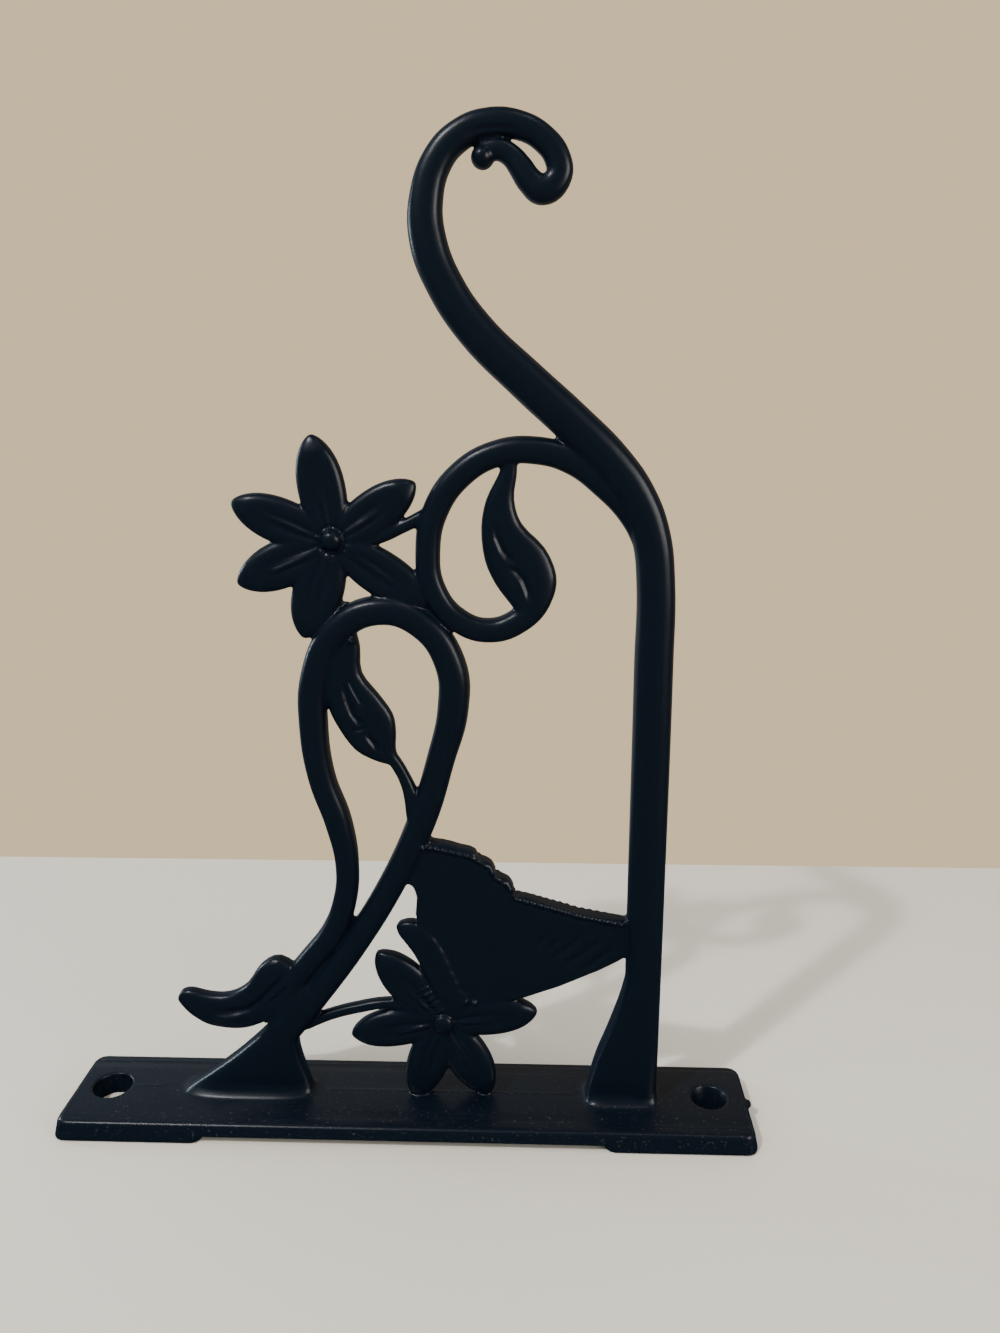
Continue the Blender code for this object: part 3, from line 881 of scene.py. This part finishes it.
def spoke(centre, petal_row, start, end, aside=0.0):
    """A line along a petal between two shares of its length, moved aside and dying away outwards."""
    angle = math.radians(petal_row[0])
    along = (math.cos(angle), math.sin(angle))
    points = []
    for step in range(5):
        share = start + (end - start) * step / 4
        spread = aside * (0.5, 0.8, 1.0, 0.95, 0.7)[step]
        reach = share * petal_row[1]
        x = centre[0] + along[0] * reach - along[1] * spread
        height = centre[1] + along[1] * reach + along[0] * spread
        points.append((x, height, (0.9, 1.0, 0.9, 0.55, 0.0)[step]))
    return points


# The lower flower's last petal gets no lines, because the near wing lies over it
dish, ribs, rib_grooves = [], [], []
for centre, petals in ((UPPER_FLOWER, UPPER_PETALS), (LOWER_FLOWER, LOWER_PETALS[:5])):
    for row in petals:
        dish.append(spoke(centre, row, 0.25, 0.85))
        ribs.append(spoke(centre, row, 0.12, 0.72))
        rib_grooves += [spoke(centre, row, 0.12, 0.7, side * RIB_GROOVE) for side in (-1, 1)]
# Start, end and strength of the rib that stands out most on each of these petals
MAIN_RIBS = (
    ((-15.8, 144.2), (-28.0, 139.2), 1.0),
    ((-8.4, 148.9), (-1.2, 153.6), 0.7),
    ((-15.3, 154.8), (-16.6, 161.5), 0.5),
    ((-18.0, 148.2), (-28.9, 153.2), 0.5),
    ((-10.0, 145.5), (0.9, 137.0), 0.6),
    ((-14.4, 143.1), (-18.9, 132.8), 0.4),
    ((6.7, 25.8), (0.1, 32.4), 0.8),
    ((6.3, 21.5), (-3.7, 18.7), 0.9),
    ((8.0, 18.4), (5.3, 11.5), 0.6),
    ((11.4, 19.2), (16.0, 9.6), 0.8),
    ((13.8, 22.4), (23.4, 23.0), 0.7),
)
main_ribs = []
for (x1, h1), (x2, h2), strength in MAIN_RIBS:
    points = [(x1 + (x2 - x1) * t, h1 + (h2 - h1) * t) for t in (0.0, 0.2, 0.5, 0.85, 1.0)]
    main_ribs.append([(x, h, share * strength) for (x, h), share in zip(points, (0.3, 1.0, 1.0, 0.8, 0.0))])
press(casting, "petal_dish", dish, reach=4.2, rise=-0.5)
press(casting, "petal_grooves", rib_grooves, reach=0.9, rise=-0.22)
press(casting, "petal_ribs", ribs, reach=0.8, rise=0.15)
press(casting, "main_ribs", main_ribs, reach=0.85, rise=0.52)

# %% Rings round the bosses
BOSS_RING = 3.1


def ring(centre, radius, steps=24):
    """A circle, as a closed line of short steps."""
    points = []
    for k in range(steps + 1):
        turn = 2 * math.pi * k / steps
        points.append((centre[0] + radius * math.cos(turn), centre[1] + radius * math.sin(turn), 1.0))
    return points


boss_places = (UPPER_BOSS, LOWER_FLOWER)
rings = [ring(place, BOSS_RING) for place in boss_places]
press(casting, "boss_rings", rings, reach=0.7, rise=-0.25)
bosses = [stroke(place, (place[0] + 0.1, place[1]), fade=False) for place in boss_places]
soften(casting, "bosses", bosses, reach=4.4, times=5)

# %% Veins of the leaves
veins = [
    stroke((24.1, 151.8), (24.8, 147.4), (26.0, 144.6), (27.2, 143.0), (28.8, 141.4)),
    stroke((27.0, 141.0), (29.2, 139.7), (30.8, 137.8), (31.8, 135.2), (32.5, 132.0)),
    stroke((-12.0, 114.4), (-11.4, 111.0), (-10.9, 108.5), (-9.9, 105.5), (-8.5, 103.6), (-7.0, 101.9)),
    stroke((-7.5, 101.6), (-6.0, 99.5), (-4.9, 97.8), (-3.3, 95.2)),
]
WIDE_VEIN = (
    (-28.9, 37.2),
    (-32.4, 33.2),
    (-34.6, 30.9),
    (-37.4, 27.9),
    (-40.1, 25.8),
    (-43.4, 25.0),
    (-50.0, 24.8),
)
side_veins = [
    stroke((-10.4, 114.2), (-10.2, 113.4), (-9.1, 111.0), (-7.8, 108.5), (-7.2, 107.4)),
    stroke((-9.9, 101.4), (-9.5, 101.5), (-7.6, 101.8), (-5.6, 102.2)),
    stroke((-28.7, 33.4), (-29.3, 32.7), (-31.5, 30.4), (-33.7, 28.6), (-36.6, 26.6)),
]
vein_ridge = stroke((-50.0, 23.3), (-47.9, 23.0), (-45.0, 22.9), (-40.6, 23.6))
press(casting, "veins", veins, reach=1.15, rise=-0.65)
press(casting, "wide_vein", [stroke(*WIDE_VEIN)], reach=1.3, rise=-0.75)
press(casting, "side_veins", side_veins, reach=0.85, rise=-0.4)
press(casting, "vein_ridge", [vein_ridge], reach=1.1, rise=0.5)

# %% Grooves where the bars run together
grooves = [
    stroke((28.8, 229.9), (28.2, 230.1), (24.8, 230.4), (21.9, 229.8), (20.2, 228.4)),
    stroke((29.0, 231.6), (28.1, 231.7), (24.6, 231.9), (21.1, 231.5), (18.4, 230.0)),
    stroke((-36.0, 20.8), (-34.4, 21.8), (-31.9, 23.9), (-28.6, 26.2)),
]
press(casting, "bar_grooves", grooves, reach=0.8, rise=-0.3)

# %% The far wing's rim and veins
RIM = (
    (5.6, 71.9),
    (6.6, 71.7),
    (12.3, 70.5),
    (17.5, 69.3),
    (20.2, 67.7),
    (22.4, 66.3),
    (23.5, 63.9),
    (26.6, 61.8),
    (28.1, 59.6),
    (28.6, 58.0),
    (32.3, 57.1),
    (40.7, 54.7),
    (44.5, 53.5),
    (56.0, 51.2),
)
RIM_WIDTH = 1.2
BEAD_PITCH = 1.9


def beaded(rows, pitch, waist):
    """A line whose strength swells and thins along it, like a row of beads that run together."""
    beads = []
    for (x1, h1), (x2, h2) in zip(rows, rows[1:]):
        count = max(2, 2 * round(math.hypot(x2 - x1, h2 - h1) / pitch))
        for k in range(count):
            beads.append((x1 + (x2 - x1) * k / count, h1 + (h2 - h1) * k / count, 1.0 if k % 2 else waist))
    return beads


beads = beaded([(x - 0.1, height - 0.3) for x, height in RIM], BEAD_PITCH, waist=0.4)
press(casting, "wing_rim", [beads], reach=0.95, rise=0.75)
inner_rim = stroke(*[(x - 0.3, height - RIM_WIDTH) for x, height in RIM])
press(casting, "wing_rim_groove", [inner_rim], reach=0.6, rise=-0.15)
wing_veins = [
    stroke((47.2, 49.8), (43.1, 45.4), (39.6, 42.6), (36.2, 40.2)),
    stroke((51.8, 49.0), (47.7, 44.7), (44.0, 41.5), (40.1, 38.5)),
    stroke((42.3, 49.7), (38.5, 45.4), (34.6, 41.9)),
    stroke((38.0, 49.6), (35.6, 46.4), (33.1, 43.6)),
    stroke((55.7, 47.8), (50.4, 42.1), (47.6, 39.6), (44.7, 37.7)),
]
press(casting, "wing_veins", wing_veins, reach=1.3, rise=-0.38)

# %% The near wing's scalloped edge and its hollow
NEAR_EDGE = ((3.4, 50.0), (7.0, 47.6), (9.2, 44.5), (10.8, 41.2), (12.2, 37.8), (13.4, 35.2), (14.6, 32.4))
HOLLOW = ((2.0, 47.6), (5.2, 43.8), (8.0, 38.6), (10.2, 33.6), (11.6, 30.4))
NEAR_BEAD_PITCH = 3.2
near_beads = beaded(NEAR_EDGE, NEAR_BEAD_PITCH, waist=0.4)
press(casting, "near_wing_edge", [near_beads], reach=1.1, rise=0.24)
press(casting, "near_wing_hollow", [stroke(*HOLLOW)], reach=2.6, rise=-0.4)

# %% The body's cross bars
BAR_CENTRES = ((4.9, 32.1), (5.8, 30.7), (7.0, 29.4), (8.1, 28.0), (9.3, 26.1))
HALF_BAR = (1.2, 0.7)
cross_bars = []
for x, height in BAR_CENTRES:
    start = (x - HALF_BAR[0], height - HALF_BAR[1])
    end = (x + HALF_BAR[0], height + HALF_BAR[1])
    cross_bars.append(stroke(start, (x, height), end, fade=False))
press(casting, "body_bars", cross_bars, reach=0.6, rise=0.32)

# %% The mould's parting line along the plate
PARTING_RUNS = ((-72.0, -66.0), (-21.0, 43.0))
parting_line = [stroke((start, 0.0), (end, 0.0), fade=False) for start, end in PARTING_RUNS]
press_top(casting, "parting_line", parting_line, reach=0.6, rise=0.12)

# %% The skin's final mesh
TRIANGLES = 190000

apply_modifier(casting, "TRIANGULATE")
apply_modifier(casting, "DECIMATE", ratio=min(1.0, TRIANGLES / len(casting.data.polygons)))
only(casting)
bpy.ops.object.shade_smooth()
casting.data.materials.clear()
print("casting", len(casting.data.polygons), "triangles")
print("casting", [round(size / MM, 1) for size in casting.dimensions], "mm")

# %% [markdown]
# ## The coat
#
# Powder coat is paint that was sprayed on dry and baked: near black, satin, with the faint orange peel of
# powder that has just flowed. The peel is soft bumps about a millimetre wide. Specks of dust have settled
# low down, where the plate is: a second, finer noise picks them, and the height above the ground limits
# them. Both patterns are solid noise, so they need no unwrapping and have no seams.

# %% Black powder coat
COAT = (0.0018, 0.0048, 0.0105, 1)
COAT_ROUGHNESS = 0.32
PEEL_SCALE = 900.0
DUST = (0.03, 0.034, 0.038, 1)
DUST_SCALE = 1500.0
DUST_GRAINS = (0.66, 0.74)
DUST_HEIGHTS = (0.0062, 0.0075)


def node(tree, kind, **values):
    """Add a shader node and set its sockets by name."""
    made = tree.nodes.new(kind)
    for key, value in values.items():
        made.inputs[key].default_value = value
    return made


def ramp(tree, value, limits, ends=(0.0, 1.0)):
    """Turn a value into one that runs between two ends while the value runs between two limits."""
    made = node(tree, "ShaderNodeMapRange")
    for key, number in zip(("From Min", "From Max", "To Min", "To Max"), limits + ends):
        made.inputs[key].default_value = number
    tree.links.new(value, made.inputs["Value"])
    return made.outputs["Result"]


def blend(tree, share, first, second):
    """Mix two colours by a share. Each is a plain colour or another node's output."""
    made = tree.nodes.new("ShaderNodeMixRGB")
    tree.links.new(share, made.inputs["Fac"])
    for key, colour in (("Color1", first), ("Color2", second)):
        if isinstance(colour, tuple):
            made.inputs[key].default_value = colour
        else:
            tree.links.new(colour, made.inputs[key])
    return made.outputs["Color"]


def powder_coat():
    """Satin black coat with a fine orange peel, and a little dust low down, on the plate."""
    material = bpy.data.materials.new("black_powder_coat")
    material.use_nodes = True
    tree = material.node_tree
    surface = tree.nodes["Principled BSDF"]
    surface.inputs["Roughness"].default_value = COAT_ROUGHNESS
    place = node(tree, "ShaderNodeTexCoord")
    peel = node(tree, "ShaderNodeTexNoise", Scale=PEEL_SCALE, Detail=2.0)
    dust = node(tree, "ShaderNodeTexNoise", Scale=DUST_SCALE, Detail=1.0)
    parts = node(tree, "ShaderNodeSeparateXYZ")
    for reader in (peel, dust, parts):
        tree.links.new(place.outputs["Object"], reader.inputs["Vector"])
    dusty = node(tree, "ShaderNodeMath")
    dusty.operation = "MULTIPLY"
    tree.links.new(ramp(tree, dust.outputs["Fac"], DUST_GRAINS), dusty.inputs[0])
    tree.links.new(ramp(tree, parts.outputs["Z"], DUST_HEIGHTS, (1.0, 0.0)), dusty.inputs[1])
    tree.links.new(blend(tree, dusty.outputs["Value"], COAT, DUST), surface.inputs["Base Color"])
    bump = node(tree, "ShaderNodeBump", Strength=0.05, Distance=0.0002)
    tree.links.new(peel.outputs["Fac"], bump.inputs["Height"])
    tree.links.new(bump.outputs["Normal"], surface.inputs["Normal"])
    return material


casting.data.materials.append(powder_coat())
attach(casting, "root")
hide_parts("bracket_casting")

# %% [markdown]
# ## The studio
#
# A black satin thing shows only what it mirrors. So the room in front is dark, the room behind is lighter,
# and small lights draw the bars' shoulders. One more lamp isn't mirrored at all: it is there for the shadow
# on the floor. The floor is pale and ends behind the object, where the backdrop takes over. In mirrored
# light the floor is dim and bluish, so that the coat stays near black.

# %% Floor
FLOOR_END = 0.152
FLOOR_LENGTH = 3.0
FLOOR_DEPTH = 2.0
FLOOR_COLOUR = (0.87, 0.82, 0.71, 1)
FLOOR_MIRRORED = (0.025, 0.05, 0.08, 1)

deselect()
bpy.ops.mesh.primitive_plane_add(size=1)
floor = bpy.context.object
floor.name = "floor"
floor.scale = (FLOOR_LENGTH, FLOOR_DEPTH, 1)
floor.location = (0, FLOOR_END - FLOOR_DEPTH / 2, 0)
settle(floor)
stage_paint = bpy.data.materials.new("stage_paint")
stage_paint.use_nodes = True
stage_tree = stage_paint.node_tree
stage_surface = stage_tree.nodes["Principled BSDF"]
stage_surface.inputs["Base Color"].default_value = FLOOR_COLOUR
stage_surface.inputs["Roughness"].default_value = 0.4
mirrored_floor = node(stage_tree, "ShaderNodeEmission", Color=FLOOR_MIRRORED, Strength=1.0)
floor_path = stage_tree.nodes.new("ShaderNodeLightPath")
floor_mix = stage_tree.nodes.new("ShaderNodeMixShader")
stage_tree.links.new(floor_path.outputs["Is Glossy Ray"], floor_mix.inputs["Fac"])
stage_tree.links.new(stage_surface.outputs["BSDF"], floor_mix.inputs[1])
stage_tree.links.new(mirrored_floor.outputs["Emission"], floor_mix.inputs[2])
stage_tree.links.new(floor_mix.outputs["Shader"], stage_tree.nodes["Material Output"].inputs["Surface"])
floor.data.materials.append(stage_paint)

# %% Lights
MIDDLE = Vector((0.0, 0.0, 0.11))


def soft_light(name, direction, distance, size, power, colour):
    """A rectangular area light in a direction from the object's middle, turned to face it."""
    place = MIDDLE + Vector(direction).normalized() * distance
    deselect()
    bpy.ops.object.light_add(type="AREA", location=place)
    lamp = bpy.context.object
    lamp.name = name
    lamp.data.shape = "RECTANGLE"
    lamp.data.size, lamp.data.size_y = size
    lamp.data.energy = power
    lamp.data.color = colour
    lamp.rotation_euler = (MIDDLE - place).to_track_quat("-Z", "Y").to_euler()
    return lamp


LAMP_DIRECTION = (-0.41, -0.5, 0.73)
soft_light("lamp", LAMP_DIRECTION, 1.2, (0.11, 0.11), 4.5, (0.96, 0.98, 1.0))
shadow_lamp = soft_light("shadow_lamp", LAMP_DIRECTION, 1.2, (0.035, 0.035), 6.0, (1.0, 0.98, 0.95))
shadow_lamp.visible_glossy = False
soft_light("second_lamp", (0.25, -0.45, 0.86), 1.3, (0.10, 0.10), 0.4, (1.0, 0.96, 0.90))
soft_light("ceiling", (-0.62, -0.35, 0.70), 1.3, (0.5, 0.5), 0.6, (0.85, 0.95, 1.0))
soft_light("right_window", (0.80, -0.53, 0.24), 1.0, (0.40, 0.45), 3.0, (1.0, 0.97, 0.93))
soft_light("left_window", (-0.93, 0.27, 0.22), 1.0, (0.10, 0.4), 2.8, (0.74, 0.88, 1.0))

# %% The room
BACKDROP = (0.88, 0.68, 0.42, 1)
BACKDROP_LEFT = (0.29, 0.32, 0.36, 1)
BACKDROP_RIGHT = (0.20, 0.17, 0.13, 1)
FRONT_LEFT = (0.030, 0.065, 0.11, 1)
FRONT_RIGHT = (0.012, 0.040, 0.075, 1)
ROOM_LIGHT = (0.62, 0.60, 0.57, 1)
ROOM_STRENGTH = 1.25
FRONT_TO_BACK = (-0.15, 0.45)
LEFT_TO_RIGHT = (-0.35, 0.05)


def room():
    """A world that looks pale and lights evenly, but is mirrored lighter behind and dark in front."""
    world = bpy.data.worlds.new("room")
    bpy.context.scene.world = world
    world.use_nodes = True
    tree = world.node_tree
    tree.nodes.clear()
    place = node(tree, "ShaderNodeTexCoord")
    parts = node(tree, "ShaderNodeSeparateXYZ")
    tree.links.new(place.outputs["Generated"], parts.inputs["Vector"])
    depth = ramp(tree, parts.outputs["Y"], FRONT_TO_BACK)
    side = ramp(tree, parts.outputs["X"], LEFT_TO_RIGHT)
    behind = blend(tree, side, BACKDROP_LEFT, BACKDROP_RIGHT)
    front = blend(tree, side, FRONT_LEFT, FRONT_RIGHT)
    mirrored = blend(tree, depth, front, behind)
    path = tree.nodes.new("ShaderNodeLightPath")
    seen = node(tree, "ShaderNodeBackground", Color=BACKDROP, Strength=1.0)
    lit = node(tree, "ShaderNodeBackground", Color=ROOM_LIGHT, Strength=ROOM_STRENGTH)
    glossy = node(tree, "ShaderNodeBackground", Strength=1.0)
    tree.links.new(mirrored, glossy.inputs["Color"])
    with_gloss = tree.nodes.new("ShaderNodeMixShader")
    tree.links.new(path.outputs["Is Glossy Ray"], with_gloss.inputs["Fac"])
    tree.links.new(lit.outputs["Background"], with_gloss.inputs[1])
    tree.links.new(glossy.outputs["Background"], with_gloss.inputs[2])
    with_camera = tree.nodes.new("ShaderNodeMixShader")
    tree.links.new(path.outputs["Is Camera Ray"], with_camera.inputs["Fac"])
    tree.links.new(with_gloss.outputs["Shader"], with_camera.inputs[1])
    tree.links.new(seen.outputs["Background"], with_camera.inputs[2])
    output = tree.nodes.new("ShaderNodeOutputWorld")
    tree.links.new(with_camera.outputs["Shader"], output.inputs["Surface"])


room()

# %% [markdown]
# ## The camera
#
# The camera stands close, a little to the right and above, with a wide lens. It was worked out from the
# plate's corners, its two holes and the upright post.

# %% Camera
PICTURE_HEIGHT = 1333
FOCAL_PIXELS = 1030
CAMERA_PLACE = (34.5, -234.6, 177.9 + PLATE_TOP)
CAMERA_YAW = 2.280
CAMERA_TILT = 75.423
CAMERA_ROLL = -0.318

deselect()
bpy.ops.object.camera_add()
camera = bpy.context.object
camera.data.lens = FOCAL_PIXELS / PICTURE_HEIGHT * camera.data.sensor_width
camera.data.clip_start = 0.01
turn = Matrix.Rotation(math.radians(CAMERA_YAW), 4, "Z")
turn = turn @ Matrix.Rotation(math.radians(CAMERA_TILT), 4, "X")
turn = turn @ Matrix.Rotation(math.radians(CAMERA_ROLL), 4, "Z")
camera.matrix_world = Matrix.Translation(Vector(CAMERA_PLACE) * MM) @ turn
bpy.context.scene.camera = camera
print("lens", round(camera.data.lens, 2), "mm")
